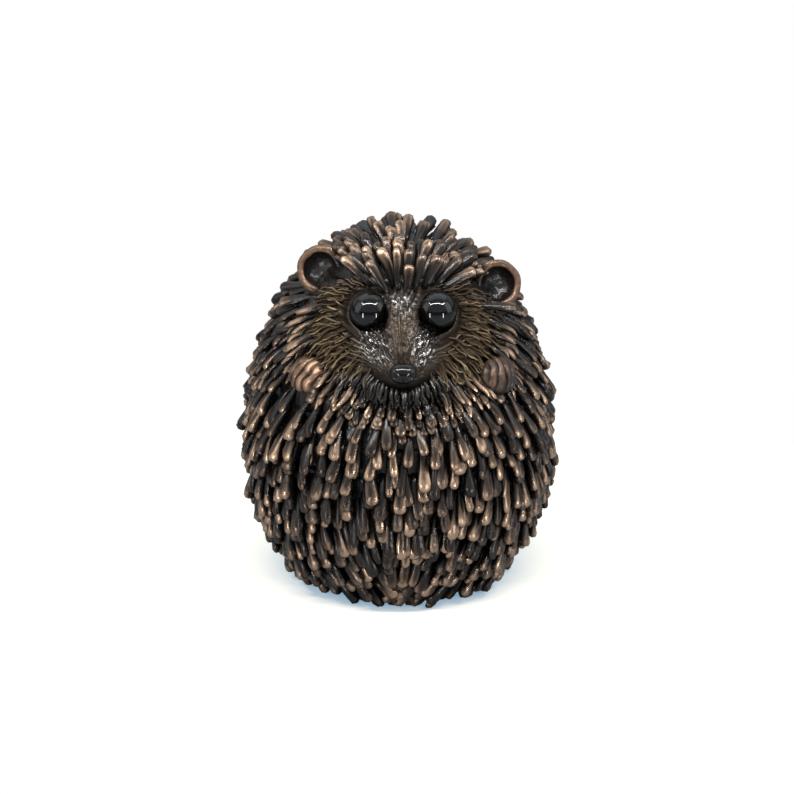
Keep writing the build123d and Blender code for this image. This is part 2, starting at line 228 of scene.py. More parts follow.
def plainMatt(name, look):
    # Felt, cast stone, drawn wire and the bare core, which hardly show: a mottled body with its own grain
    material, tree, place = newMaterial(name)
    grain = addNoise(tree, place, look["grainSize"], 6.0, 0.7)
    bump = addNode(tree, "ShaderNodeBump", {
        "Height": grain, "Strength": look["bump"], "Distance": look["grainSize"] * mm})
    return finishMaterial(material, addNode(tree, "ShaderNodeBsdfPrincipled", {
        "Base Color": addRamp(tree, grain, look["dark"], look["light"]), "Roughness": look["roughness"],
        "Metallic": look["metal"], "Sheen Weight": look["sheen"], "Normal": bump.outputs["Normal"]}))


# The last colour in each look is a painted glint: pale spots mixed into the rubbed tops where the lacquer is
# wet
quillBronze = patinatedBronze("cast_bronze_rubbed_quills", {
    "patina": "#1c1816", "between": [(0.35, "#2f2620"), (0.7, "#75604f")], "bright": "#ccab8e",
    "patinaMetal": 0.5, "brightMetal": 0.95, "roughness": 0.28,
    "rubFrom": 0.2, "rubTo": 1.05, "unevenness": 0.4,
    "streakStretch": (1.0, 1.0, 0.12), "streakScale": 1.6, "streakBump": 0.5, "streakDepth": 0.25,
    "cloudSize": 6.0, "pitSize": 0.7, "pitBump": 0.25, "wetPitBump": 0.25, "pitDepth": 0.12,
    "lacquer": 0.3, "lacquerRoughness": 0.12, "paintedGlint": "#dcb48a"})
faceBronze = patinatedBronze("cast_bronze_olive_fur", {
    "patina": "#2a2119", "between": [(0.4, "#453829"), (0.75, "#66563f")], "bright": "#a08c6c",
    "patinaMetal": 0.88, "brightMetal": 0.85, "roughness": 0.38,
    "rubFrom": 0.1, "rubTo": 1.05, "unevenness": 0.25,
    "streakStretch": (1.0, 1.0, 0.2), "streakScale": 1.8, "streakBump": 0.35, "streakDepth": 0.2,
    "cloudSize": 5.0, "pitSize": 1.0, "pitBump": 0.15, "wetPitBump": 1.0, "pitDepth": 0.8,
    "lacquer": 0.05, "lacquerRoughness": 0.1, "paintedGlint": "#efedea"})
limbBronze = patinatedBronze("cast_bronze_rubbed_bright", {
    "patina": "#17110d", "between": [(0.35, "#4a382b"), (0.7, "#866750")], "bright": "#b08c71",
    "patinaMetal": 0.3, "brightMetal": 0.85, "roughness": 0.4,
    "rubFrom": 0.15, "rubTo": 0.95, "unevenness": 0.3,
    "streakStretch": (1.0, 1.0, 0.3), "streakScale": 1.2, "streakBump": 0.4, "streakDepth": 0.2,
    "cloudSize": 4.0, "pitSize": 0.6, "pitBump": 0.2, "wetPitBump": 0.9, "pitDepth": 0.35,
    "lacquer": 0.3, "lacquerRoughness": 0.08, "paintedGlint": "#efedea"})
blackGlass = glossBlack("black_glass_polished", {
    "black": "#060606", "haze": "#0b0a0a", "smearSize": 3.0, "roughness": 0.03, "smearRoughness": 0.07,
    "bump": 0.02, "bumpDepth": 0.05, "ior": 1.52})
blackLacquer = glossBlack("black_lacquer_brushed", {
    "black": "#070707", "haze": "#100e0d", "smearSize": 1.2, "roughness": 0.08, "smearRoughness": 0.2,
    "bump": 0.25, "bumpDepth": 0.15, "ior": 1.5})
matt = {"metal": 0.0, "sheen": 0.0}
felt = plainMatt("wool_felt_pressed", {
    **matt, "dark": "#0d0e0d", "light": "#262826", "grainSize": 0.5, "bump": 0.8, "roughness": 0.95,
    "sheen": 0.4})
castStone = plainMatt("stone_powder_cast_in_resin", {
    **matt, "dark": "#857f73", "light": "#aaa498", "grainSize": 0.8, "bump": 0.5, "roughness": 0.85})
drawnSteel = plainMatt("steel_wire_drawn", {
    **matt, "dark": "#9a9a9c", "light": "#c4c4c6", "grainSize": 0.3, "bump": 0.2, "roughness": 0.35,
    "metal": 1.0})
darkCore = plainMatt("cast_bronze_unrubbed_core", {
    **matt, "dark": "#120f0d", "light": "#221b16", "grainSize": 0.7, "bump": 0.5, "roughness": 0.6,
    "metal": 0.3})
for node, material in {"body_shell": darkCore, "stone_filler": castStone, "felt_pad": felt,
                       "left_eye_pin": drawnSteel, "right_eye_pin": drawnSteel}.items():
    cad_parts[node].data.materials.clear()
    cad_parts[node].data.materials.append(material)
print("materials: done")


# The egg that everything sits on, and the head's places on it

shellLow, shellHigh = [np.array(corner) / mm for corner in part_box("body_shell")]
egg = {"widest": 30.2, "baseRadius": 14.5, "coat": 2.22, "lowerTiers": 6, "upperTiers": 10}
egg["radius"] = (shellHigh[0] - shellLow[0]) / 2
egg["crown"] = shellHigh[2] - egg["widest"]
egg["keel"] = (egg["widest"] - shellLow[2]) / math.sqrt(1 - (egg["baseRadius"] / egg["radius"]) ** 2)
head = {"shift": 0.8, "tilt": math.radians(31), "pivotRise": 14.0, "maskThickness": 3.4,
        "cheekSpread": 12.0, "cheekLift": 3.2, "cheekRadius": 9.2, "chinDrop": 4.2, "chinRadius": 6.6,
        "eyePivotRise": 8.0, "pawPivotRise": 2.0}  # above the widest level, what eyes and paws look away from


def eggPoint(turn, azimuth, offset):
    # An ellipse of half width radius and half height crown or keel, turned about Z. Azimuth 0 is the front
    rise = np.where(turn >= 0, egg["crown"], egg["keel"]) + offset
    radius = (egg["radius"] + offset) * np.cos(turn)
    point = np.stack(np.broadcast_arrays(
        radius * np.sin(azimuth), -radius * np.cos(azimuth), egg["widest"] + rise * np.sin(turn)), -1)
    across, up = np.cos(turn) / (egg["radius"] + offset), np.sin(turn) / rise
    normal = np.stack(np.broadcast_arrays(across * np.sin(azimuth), -across * np.cos(azimuth), up), -1)
    return point, unit(normal)


def tierEdges(steps=720):
    # The angles that share the coat's profile, below and above the widest level, into equal lengths
    offset = egg["coat"]
    floorTurn = -math.asin((egg["widest"] - shellLow[2]) / (egg["keel"] + offset))
    halves = ((floorTurn, 0.0, egg["lowerTiers"]), (0.0, math.pi / 2, egg["upperTiers"]))
    edges = []
    for start, end, count in halves:
        turns = np.linspace(start, end, steps)
        hair = 1e-9 if start == 0 else -1e-9  # keeps the widest level on this half's own ellipse
        lengths = runLengths(eggPoint(turns + hair, np.zeros(steps), offset)[0])
        edges.append(np.interp(np.linspace(0, lengths[-1], count + 1), lengths, turns))
    return np.concatenate([edges[0], edges[1][1:]])


faceNormal = np.array([0, -math.cos(head["tilt"]), math.sin(head["tilt"])])
faceUp = np.array([0, math.sin(head["tilt"]), math.cos(head["tilt"])])
facePivot = np.array([head["shift"], 0, egg["widest"] + head["pivotRise"]])
faceCentre = facePivot + faceNormal * egg["radius"]


def nodeCentre(node):
    low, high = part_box(node)
    return np.array((low + high) / 2) / mm


eyeCentres = {side: nodeCentre(f"{side}_eye") for side in handSigns}
pawCentres = {side: nodeCentre(f"{side}_forepaw") for side in handSigns}
earCentres = {side: nodeCentre(f"{side}_ear") for side in handSigns}
noseCentre = nodeCentre("nose")
pawPivot = np.array([0, 0, egg["widest"] + head["pawPivotRise"]])
pawFacings = {side: unit(centre - pawPivot) for side, centre in pawCentres.items()}


def outlineReach():
    # How far the mask's outline, the hull of two cheek discs and a chin disc, reaches along each direction
    bearing = np.radians(np.arange(360))
    way = np.stack([np.cos(bearing), np.sin(bearing)], -1)
    discs = np.array([[-head["cheekSpread"], head["cheekLift"], head["cheekRadius"]],
                      [head["cheekSpread"], head["cheekLift"], head["cheekRadius"]],
                      [0, -head["chinDrop"], head["chinRadius"]]])
    return way, (way @ discs[:, :2].T + discs[:, 2]).max(1)


outlineWay, outlineFar = outlineReach()


def facePlace(points):  # sideways, up and out of the face's plane, from the pivot
    arm = points - facePivot
    return arm @ xAxis, arm @ faceUp, arm @ faceNormal


def beyondOutline(points):  # the distance outside the mask's outline, negative inside it
    side, up, out = facePlace(points)
    distance = (np.stack([side, up], -1) @ outlineWay.T - outlineFar).max(-1)
    return np.where(out > 0, distance, 99.0)  # behind the face everything counts as far outside


# Quills: rods that leave the skin, lean over and end in a blunt club

rod = {"stations": np.array([0.0, 0.28, 0.58, 0.81, 0.92, 0.98]), "sides": 8,
       "widths": np.array([0.5, 0.68, 0.9, 1.0, 0.9, 0.58]),
       "hollows": np.array([0.5, 1.0, 1.0, 0.7, 0.0, 0.0])}
lock = {"stations": np.array([0.0, 0.16, 0.32, 0.48, 0.64, 0.8, 0.93]), "sides": 6,
        "widths": np.array([0.7, 0.95, 1.0, 1.0, 0.9, 0.7, 0.4]), "hollows": np.zeros(7)}
rodLook = {"lumps": 0.07, "clubFrom": 0.5, "clubTo": 0.9, "rub": 0.2, "topRub": 0.3, "edgeRub": 0.34,
           "tipRub": 0.42, "tipFrom": 0.72, "tipTo": 0.96, "rootFrom": 0.02, "rootTo": 0.7}
flow = {"poles": [(faceCentre, 1.0),  # away from the face
                  (np.array([0, 0, -10.0]), -0.3),  # towards a point under the base
                  (np.array([0.0, -25.0, 4.0]), -2.0)],  # towards the parting low on the front
        "hang": 0.8, "hangFrom": 9, "hangFull": 3}  # below these heights quills turn straight down


def flowAt(points, normals):
    # Each pole pushes or pulls along the line to it, less with distance. The sum is laid flat on the skin
    pull = np.zeros_like(points)
    for pole, share in flow["poles"]:
        arm = points - pole
        pull += arm * share / dot(arm, arm)
    way = unit(pull - normals * dot(pull, normals))
    down = unit(-upAxis + normals * dot(normals, upAxis))
    low = flow["hang"] * ease(flow["hangFrom"], flow["hangFull"], points[:, 2:])
    return unit(way * (1 - low) + down * low)


def clearOf(points, ways, length, rooms):
    # Whether a rod that leaves each point along ways keeps four places along it out of some balls
    clear = np.ones(len(points), bool)
    for centre, room in rooms:
        for share in (0.0, 0.35, 0.7, 1.0):
            clear &= np.linalg.norm(points + ways * length * share - centre, axis=1) > room
    return clear


def rods(form, roots, ways, normals, shape, rng):
    # The axis leaves the root at an angle that eases from lift to lean, bends and waves sideways. A ring is
    # an oval across the axis. Its top may be hollow up to the blunt end, so that edges and end stand proud
    def each(key):  # one value a rod, shaped to meet its rings and their corners
        return shape[key][:, None, None, None]

    count, stations, corners = len(roots), form["stations"], form["sides"]
    t = np.append(stations, 1.0)[None, :, None]
    length, lift, lean, bent, wave = [each(key)[..., 0] for key in ("length", "lift", "lean", "bend", "wave")]
    angle = lift + (lean - lift) * t / 2
    across = np.cross(normals, ways)[:, None]
    phase = rng.uniform(0, 6.28, (count, 1, 1))
    bend = bent * t**2 + wave * t * np.sin(t * shape["waves"] + phase)
    axis = roots[:, None] + length * t * (np.cos(angle) * ways[:, None] + np.sin(angle) * normals[:, None])
    axis = axis + bend * length * across
    tangent = unit(np.gradient(axis, axis=1))
    side = unit(np.cross(normals[:, None], tangent))
    top = np.cross(tangent, side)
    phi = (np.arange(corners) * 2 * np.pi / corners)[None, None, :, None]
    club = 1 + each("club") * ease(rodLook["clubFrom"], rodLook["clubTo"], stations)[None, :, None, None]
    hollow = 1 - each("hollow") * form["hollows"][None, :, None, None] * np.maximum(np.sin(phi), 0) ** 6
    lumps = 1 + rodLook["lumps"] * rng.standard_normal((count, len(stations), corners, 1))
    reach = each("width") / 2 * form["widths"][None, :, None, None] * club * lumps
    upward = each("flat") * hollow * np.sin(phi) * top[:, :-1, None]
    rings = axis[:, :-1, None] + reach * (np.cos(phi) * side[:, :-1, None] + upward)
    points = np.concatenate([roots[:, None], rings.reshape(count, -1, 3), axis[:, -1:]], 1)
    # Rubbed metal: most on the top, the four edges and the tip, none at the root
    along = np.concatenate([[0.0], np.repeat(stations, corners), [1.0]])[None]
    height = np.concatenate([[0.0], np.tile(np.sin(phi).ravel(), len(stations)), [0.4]])[None]
    edges = np.concatenate([[0.0], np.tile(np.abs(np.sin(2 * phi)).ravel(), len(stations)), [0.6]])[None]
    rub = rodLook["rub"] + rodLook["topRub"] * height + rodLook["edgeRub"] * edges
    rub = rub + rodLook["tipRub"] * ease(rodLook["tipFrom"], rodLook["tipTo"], along)
    start = shape["bare"] + (1 - shape["bare"]) * ease(rodLook["rootFrom"], rodLook["rootTo"], along)
    rub = rub * start * shape["rub"][:, None] + shape["tone"][:, None]
    # Grain: across, height and along each rod, moved so that no two rods have the same streaks
    pole = np.zeros((count, 1))
    sideways = np.concatenate([pole, (reach * np.cos(phi))[..., 0].reshape(count, -1), pole], 1)
    grain = np.stack([sideways, height + 0 * sideways, along * length[..., 0]], -1)
    grain = grain + rng.uniform(0, 200, (count, 1, 3))
    ring = np.arange(corners)
    last = 1 + (len(stations) - 1) * corners
    quads = 1 + gridFaces(len(stations), corners)
    rootFan = np.stack([np.zeros(corners, int), 1 + (ring + 1) % corners, 1 + ring], -1)
    tipFan = np.stack([last + ring, last + (ring + 1) % corners, np.full(corners, last + corners)], -1)
    first = (np.arange(count) * points.shape[1])[:, None, None]
    faces = [(first + part).reshape(-1, part.shape[1]) for part in (quads, rootFan, tipFan)]
    return points.reshape(-1, 3), faces, rub.ravel(), grain.reshape(-1, 3)


coat = {"pitch": 3.4, "sunk": 1.0, "skin": 0.35, "skinInside": 0.15, "length": 8.8, "width": 2.3,
        "shortest": 1.6, "floorGap": 0.4, "lift": 37, "lean": 7, "slope": 0.42, "sideScatter": 0.22,
        "upScatter": 0.2, "crownFrom": 56, "crownTo": 68, "crownLay": 9, "wave": 0.01,
        "waves": 7.0, "faceRoom": -1.0, "seed": 20}
quillRanges = {"length": (0.84, 1.14), "width": (0.74, 1.16), "lift": (-6, 6), "lean": (-8, 8),
               "bend": (-0.14, 0.14), "club": (0.0, 0.26), "hollow": (0.0, 0.6), "flat": (0.75, 1.0),
               "rub": (0.5, 1.1), "tone": (-0.05, 0.08)}
nearFace = {"beside": (9, 1), "outwards": (9, 17), "under": (4, 0.5), "drop": (-2, -9),  # distances
            "length": {"under": 0.3, "beside": 0.1}, "width": {"under": 0.18, "beside": 0.2},  # shares less
            "besideLay": 8, "besideWave": 0.04, "underRub": 0.25}
earFacings = {side: unit(np.array([sign * 0.41, -0.85, 0.37])) for side, sign in handSigns.items()}


def limbBalls(centres, facings, room, front, ahead):  # balls on and before each limb that quills stay out of
    balls = [(centre, room) for centre in centres.values()]
    return balls + [(centres[side] + facings[side] * step, front) for side in centres for step in ahead]


pawBalls = limbBalls(pawCentres, pawFacings, room=2.8, front=3.7, ahead=(2.5, 5))
earBalls = limbBalls(earCentres, earFacings, room=3.6, front=5.2, ahead=(4, 7))


def course(tier, edges, rng):
    # Two staggered rows of roots in one tier, each a little out of line
    turns, azimuths = [], []
    tall = edges[tier + 1] - edges[tier]
    for row in (0, 1):
        middle = edges[tier] + tall * (0.25 + 0.5 * row)
        radius = (egg["radius"] + egg["coat"]) * math.cos(middle)
        count = max(3, round(2 * math.pi * radius / coat["pitch"]))
        scatter = rng.uniform(-coat["sideScatter"], coat["sideScatter"], count)
        azimuths.append((np.arange(count) + 0.5 * (tier % 2) + 0.25 * row + scatter) * (2 * math.pi / count))
        turns.append(middle + rng.uniform(-coat["upScatter"], coat["upScatter"], count) * tall)
    return np.concatenate(turns), np.concatenate(azimuths)


def quillShapes(roots, ways, rng):
    # Sizes, bends and rub of each quill. Beside the face they are slim and wavy, under it short, and on the
    # crown they lie flatter. None is longer than the way from its root down to the floor
    side, up, out = facePlace(roots)
    away, front = beyondOutline(roots), out > 0
    under = ease(*nearFace["under"], away) * front * ease(*nearFace["drop"], up)
    beside = ease(*nearFace["beside"], away) * front * ease(*nearFace["outwards"], np.abs(side)) * (1 - under)
    crown = ease(coat["crownFrom"], coat["crownTo"], roots[:, 2])
    shape = drawEach(quillRanges, len(roots), rng)
    for key in ("length", "width"):
        less = 1 - nearFace[key]["under"] * under - nearFace[key]["beside"] * beside
        shape[key] = coat[key] * shape[key] * less
    lay = nearFace["besideLay"] * beside
    shape["lift"] = np.radians(coat["lift"] + shape["lift"] - lay - coat["crownLay"] * crown)
    shape["lean"] = np.radians(coat["lean"] + shape["lean"])
    shape["rub"] = shape["rub"] * (1 - nearFace["underRub"] * under)
    shape["wave"] = coat["wave"] + nearFace["besideWave"] * beside
    shape.update({"waves": coat["waves"], "bare": 0.0})
    fall = -ways[:, 2] * np.cos((shape["lift"] + shape["lean"]) / 2)
    room = (roots[:, 2] - coat["floorGap"] - shape["width"] / 2) / np.maximum(fall, 0.05)
    shape["length"] = np.minimum(shape["length"], np.maximum(room, coat["shortest"]))
    return shape


def skinBand(tier, edges, columns=96, rows=5):
    # The strip of skin that the quills stand in: a closed ring of profile, or a two-poled cap at the crown
    azimuth = np.linspace(0, 2 * np.pi, columns, endpoint=False)
    turns = np.linspace(edges[tier], edges[tier + 1], rows)
    outside = eggPoint(turns[:, None], azimuth[None], egg["coat"] - coat["skin"])[0]
    inside = eggPoint(turns[::-1, None], azimuth[None], coat["skinInside"])[0]
    crown = tier == len(edges) - 2
    rings = np.concatenate([inside, outside] if crown else [outside, inside])
    return rings.reshape(-1, 3), gridFaces(len(rings), columns, wrapRows=not crown)


def makeCoat():
    edges, rng, total = tierEdges(), np.random.default_rng(coat["seed"]), 0
    for tier in range(len(edges) - 1):
        turn, azimuth = course(tier, edges, rng)
        surface, normals = eggPoint(turn, azimuth, egg["coat"])
        ways = flowAt(surface, normals)
        rises = unit(ways + coat["slope"] * normals)
        keep = clearOf(surface, rises, coat["length"], pawBalls + earBalls)
        keep &= beyondOutline(surface) > coat["faceRoom"]
        surface, normals, ways = surface[keep], normals[keep], ways[keep]
        roots = surface - normals * coat["sunk"]
        points, faces, rub, grain = rods(rod, roots, ways, normals, quillShapes(roots, ways, rng), rng)
        points[:, 2] = np.maximum(points[:, 2], coat["floorGap"] / 2)
        skin, skinFaces = skinBand(tier, edges)
        number = f"{tier + 1:02d}"
        addPiece(f"quill_coat_{number}", np.concatenate([skin, points]),
                 [skinFaces, *[part + len(skin) for part in faces]],
                 {"rub": np.concatenate([np.zeros(len(skin)), rub]), "grain": np.concatenate([skin, grain])},
                 quillBronze, "bronze_quills", [f"quill_tier_{number}"], mergePoles=True)
        total += len(roots)
    print(f"coat: {total} quills")


makeCoat()


# Face: a polar grid from the muzzle out to the mask's outline, pulled out to the nose and combed into fur

face = {"rings": 136, "spokes": 660, "gather": 0.9, "under": 0.3, "rimFrom": 0.78, "rimOffset": 1.9,
        "bridge": 2.3, "bridgeWidth": 3.0, "noseSink": 0.4}
muzzle = {"foot": np.array([0.0, -3.4]),  # where it leaves the mask, sideways and up from the pivot
          "width": 5.4, "upSpread": 1.55, "downSpread": 0.95, "falloff": 3.2}
# Each ridge, dip and edge of the socket lies this far from the eye's axis
lid = {"rise": 0.45, "at": 4.25, "width": 0.75, "dip": 0.5, "dipAt": 6.6, "dipWidth": 1.5,
       "socket": 2.4, "socketFrom": 3.9, "socketTo": 3.0, "darkAt": 4.4, "darkWidth": 0.7}
fur = {"locks": 62, "depth": 0.5, "sharp": 2.2, "hairs": 330, "fineDepth": 0.2,
       "beadDepth": 0.9, "beadsPerMm": 2.3}
wetPatches = {"left_cheek": {"side": -5.6, "up": 0.3, "wide": 2.7, "tall": 3.6, "share": 1.0},
              "right_cheek": {"side": 4.2, "up": 0.8, "wide": 2.3, "tall": 3.6, "share": 1.0},
              "brow": {"side": 0.0, "up": 7.8, "wide": 3.4, "tall": 2.2, "share": 0.65}}
# beads: how bright the bead tops in the wet patches are rubbed, as painted glints
faceRub = {"skin": 0.18, "ridges": 0.55, "hair": 0.27, "lids": -0.5, "muzzle": -0.12, "wet": -0.25,
           "beads": 0.95, "chinDark": 0.7}


def eggDepth(side, up, offset):
    # Where a line along the face's normal leaves the egg's upper ellipsoid: the larger root of a quadratic
    radius, crown = egg["radius"] + offset, egg["crown"] + offset
    start = facePivot + side[..., None] * xAxis + up[..., None] * faceUp - np.array([0, 0, egg["widest"]])
    weight = 1 / np.stack([radius, radius, crown], -1)
    start, ray = start * weight, faceNormal * weight
    a, b, c = dot(ray, ray)[..., 0], dot(start, ray)[..., 0], dot(start, start)[..., 0] - 1
    return (-b + np.sqrt(np.maximum(b * b - a * c, 0))) / a


def maskPoint(side, up, offset):  # a place on the egg grown by offset, seen along the face's normal
    points = facePivot + side[..., None] * xAxis + up[..., None] * faceUp
    return points + eggDepth(side, up, offset)[..., None] * faceNormal


def maskOffset(share):  # the mask's thickness, less towards its rim
    return head["maskThickness"] - face["rimOffset"] * ease(face["rimFrom"], 1.0, share)


def rimDistance(angle):  # from the muzzle's foot to the outline, along each spoke
    spoke = np.stack([np.cos(angle), np.sin(angle)], -1)
    facing = spoke @ outlineWay.T
    room = outlineFar - outlineWay @ muzzle["foot"]
    return np.where(facing > 0.02, room / np.maximum(facing, 0.02), 1e3).min(-1)


def muzzlePull(side, up):
    # How much of the muzzle's reach a place on the mask is drawn out by: 1 at the foot, falling off round it
    rise = up - muzzle["foot"][1]
    spread = np.hypot(side, np.where(rise > 0, rise / muzzle["upSpread"], rise / muzzle["downSpread"]))
    return 1 / (1 + (spread / muzzle["width"]) ** muzzle["falloff"])


def makeFace():
    # Rings run from the foot to the rim, turn under it and go back to a pole inside the mask
    angle = np.linspace(0, 2 * np.pi, face["spokes"], endpoint=False)
    share = np.concatenate([np.linspace(0, 1, face["rings"]) ** face["gather"], [1.02, 1.0, 0.5, 0.0]])
    distance = share[:, None] * rimDistance(angle)
    side = muzzle["foot"][0] + distance * np.cos(angle)
    up = muzzle["foot"][1] + distance * np.sin(angle)
    front = (np.arange(len(share)) < face["rings"])[:, None]
    flat = maskPoint(side, up, np.where(front, maskOffset(share)[:, None], face["under"]) + 0 * side)
    # The muzzle: the skin near the foot is drawn out to the nose, and a low bridge runs up between the eyes
    rise = up - muzzle["foot"][1]
    pull = muzzlePull(side, up)
    tip = noseCentre + unit(noseCentre - flat[0, 0]) * face["noseSink"]
    points = flat + (pull * front)[..., None] * (tip - flat[0, 0])
    bridge = bell(side, 0, face["bridgeWidth"]) * ease(0, 5, rise) * ease(16, 9, rise) * front
    points = points + (face["bridge"] * bridge)[..., None] * faceNormal
    # Lids: a low ridge round each eye, a dip outside it and the socket inside it
    lids = np.zeros_like(side)
    eyeNear = np.zeros_like(side)
    eyePivot = np.array([head["shift"], 0, egg["widest"] + head["eyePivotRise"]])
    for centre in eyeCentres.values():
        arm = flat - centre
        out = unit(centre - eyePivot)
        away = np.linalg.norm(arm - dot(arm, out) * out, axis=-1)
        raised = lid["rise"] * bell(away, lid["at"], lid["width"])
        raised = raised - lid["dip"] * bell(away, lid["dipAt"], lid["dipWidth"])
        raised = raised - lid["socket"] * ease(lid["socketFrom"], lid["socketTo"], away)
        points = points + (raised * front)[..., None] * out
        lids = np.maximum(lids, bell(away, lid["darkAt"], lid["darkWidth"]))
        eyeNear = np.maximum(eyeNear, ease(7.0, 4.6, away))
    # Fur: thin wavy crests along the spokes, broken here and there, fine hair over them, drops on wet parts
    around = angle / (2 * np.pi) + 0 * distance

    def combNoise(cells, length, seed, shift=0):  # noise in this many cells round the face, each this long
        return valueNoise(around * cells + shift, distance / length, seed, cells)

    wander = 2.2 * combNoise(16, 4.5, 3) + 0.8 * combNoise(48, 2.0, 4)
    fold = np.abs((around * fur["locks"] + wander) % 1 * 2 - 1)
    broken = ease(0.2, 0.6, combNoise(36, 5.0, 5, wander))
    fine = combNoise(fur["hairs"], 4.0, 6, 4 * wander)
    beads = valueNoise(side * fur["beadsPerMm"] + 20, up * fur["beadsPerMm"] + 20, 7) ** 2
    ridges = fold ** fur["sharp"] * (0.3 + 0.7 * broken)
    hair = 1 - np.abs(2 * fine - 1)
    onMuzzle = ease(0.12, 0.5, pull)
    normals = unit(np.cross(np.gradient(points, axis=0), np.roll(points, -1, 1) - np.roll(points, 1, 1)))
    combed = (1 - 0.75 * onMuzzle) * (1 - 0.7 * eyeNear) * ease(0.02, 0.2, share)[:, None] * front
    wet = sum(patch["share"] * bell(side, patch["side"], patch["wide"]) * bell(up, patch["up"], patch["tall"])
              for patch in wetPatches.values())
    wet = np.clip(wet, 0, 1) * front
    relief = fur["depth"] * (ridges - 0.5) * combed
    relief = relief + fur["fineDepth"] * (hair - 0.5) * (0.35 + 0.65 * combed) * front
    relief = relief + fur["beadDepth"] * beads * wet
    points = points + relief[..., None] * normals
    rub = faceRub["skin"] + faceRub["ridges"] * ridges * (0.3 + 0.7 * combed) + faceRub["hair"] * hair
    rub = rub + faceRub["lids"] * lids + faceRub["muzzle"] * onMuzzle + faceRub["wet"] * wet
    # Painted glints: the bead tops in the wet patches are rubbed bright, so that the material turns them pale
    rub = rub + faceRub["beads"] * wet * ease(0.38, 0.62, beads)
    rub = rub * (1 - faceRub["chinDark"] * ease(-2, -7, up)) * front
    looks = {"rub": rub, "wet": wet, "grain": np.stack([side + 60, up, distance], -1)}
    addGrid("face", points, looks, faceBronze, "bronze_face", ["face_mask"])
    print("face: done")


makeFace()


# Fringe: brow quills, wavy cheek locks and short dark chin hair, rooted in the mask's rim

strand = {"form": lock, "peak": 0.0, "club": 0.0, "bare": 0.0, "waves": 8.0}  # what most tufts share
fringe = {
    "brow": {**strand, "spans": [(36, 144)], "shares": (0.86, 0.95, 1.04, 1.13, 1.22), "peak": 0.13,
             "pitch": 2.5, "form": rod, "length": 8.0, "width": 2.15, "lift": 36, "lean": 14, "wave": 0.02,
             "waves": 6.0, "club": 0.15, "rub": 0.85},
    "locks": {**strand, "spans": [(-36, 36), (144, 216)], "shares": (0.84, 0.92, 1.0, 1.08), "pitch": 2.0,
              "length": 7.0, "width": 1.8, "lift": 22, "lean": 6, "wave": 0.04, "club": 0.1, "rub": 1.05,
              "bare": 0.3},
    "chin_hair": {**strand, "spans": [(198, 342)], "shares": (0.62, 0.72, 0.82, 0.92, 1.02), "pitch": 1.0,
                  "length": 3.8, "width": 0.85, "lift": 26, "lean": 4, "wave": 0.06, "rub": 0.42},
    "throat": {**strand, "spans": [(206, 334)], "shares": (1.06, 1.2, 1.34, 1.5), "pitch": 2.2, "form": rod,
               "length": 5.6, "width": 1.6, "lift": 34, "lean": 8, "wave": 0.02, "waves": 6.0, "club": 0.25,
               "rub": 0.85},
    "temples": {**strand, "spans": [(16, 66), (114, 164)], "shares": (0.92, 0.98, 1.05, 1.12, 1.19),
                "pitch": 1.5, "length": 3.8, "width": 1.0, "lift": 14, "lean": -4, "wave": 0.05, "rub": 0.7,
                "bare": 0.1}}
cheekFur = {
    "cheeks": {**strand, "spans": [(-16, 70), (110, 196)], "shares": np.arange(44, 93, 8) / 100, "pitch": 1.2,
               "length": 4.6, "width": 0.55, "lift": 7, "lean": -3, "wave": 0.07, "waves": 9.0, "rub": 0.95,
               "bare": 0.5}}
strandRanges = {"length": (0.8, 1.2), "width": (0.75, 1.2), "lift": (-6, 6), "lean": (-6, 6), "club": (0, 2),
                "rub": (0.7, 1.15), "bend": (-0.15, 0.15), "hollow": (0, 0.6), "flat": (0.6, 0.95),
                "tone": (-0.05, 0.08)}
tuftRoom = {"eye": 4.9, "spare": 1.25, "flatLift": 15}  # flat strands may pass under the ears
eyeBalls = [(centre, tuftRoom["eye"]) for centre in eyeCentres.values()]


def facePoint(share, angle):  # a place on the mask, drawn out with the muzzle, and the egg's normal there
    reach = share * rimDistance(angle)
    side, up = muzzle["foot"][0] + reach * np.cos(angle), muzzle["foot"][1] + reach * np.sin(angle)
    offset = maskOffset(share) + 0 * side
    points = maskPoint(side, up, offset)
    sizes = np.stack([egg["radius"] + offset, egg["radius"] + offset, egg["crown"] + offset], -1)
    normals = unit((points - np.array([0, 0, egg["widest"]])) / sizes**2)
    foot = facePivot + muzzle["foot"][1] * faceUp + faceNormal * egg["radius"]
    return points + muzzlePull(side, up)[..., None] * (noseCentre - foot), normals


def tuftRoots(tuft, rng):
    # Rows of roots, each row at a share of the way from the muzzle to the rim, dipping by peak over the nose
    shares, angles = [], []
    for span in tuft["spans"]:
        for row, share in enumerate(tuft["shares"]):
            fine = np.radians(np.linspace(*span, 400))
            lengths = runLengths(facePoint(share, fine)[0])
            count = int(lengths[-1] / tuft["pitch"])
            marks = (np.arange(count) + 0.5 * (row % 2) + rng.uniform(-0.3, 0.3, count)) * tuft["pitch"]
            angles.append(np.interp(marks, lengths, fine))
            drop = tuft["peak"] * bell(angles[-1], np.pi / 2, 0.4)
            shares.append(share - drop + rng.uniform(-0.035, 0.035, count))
    return facePoint(np.concatenate(shares), np.concatenate(angles))


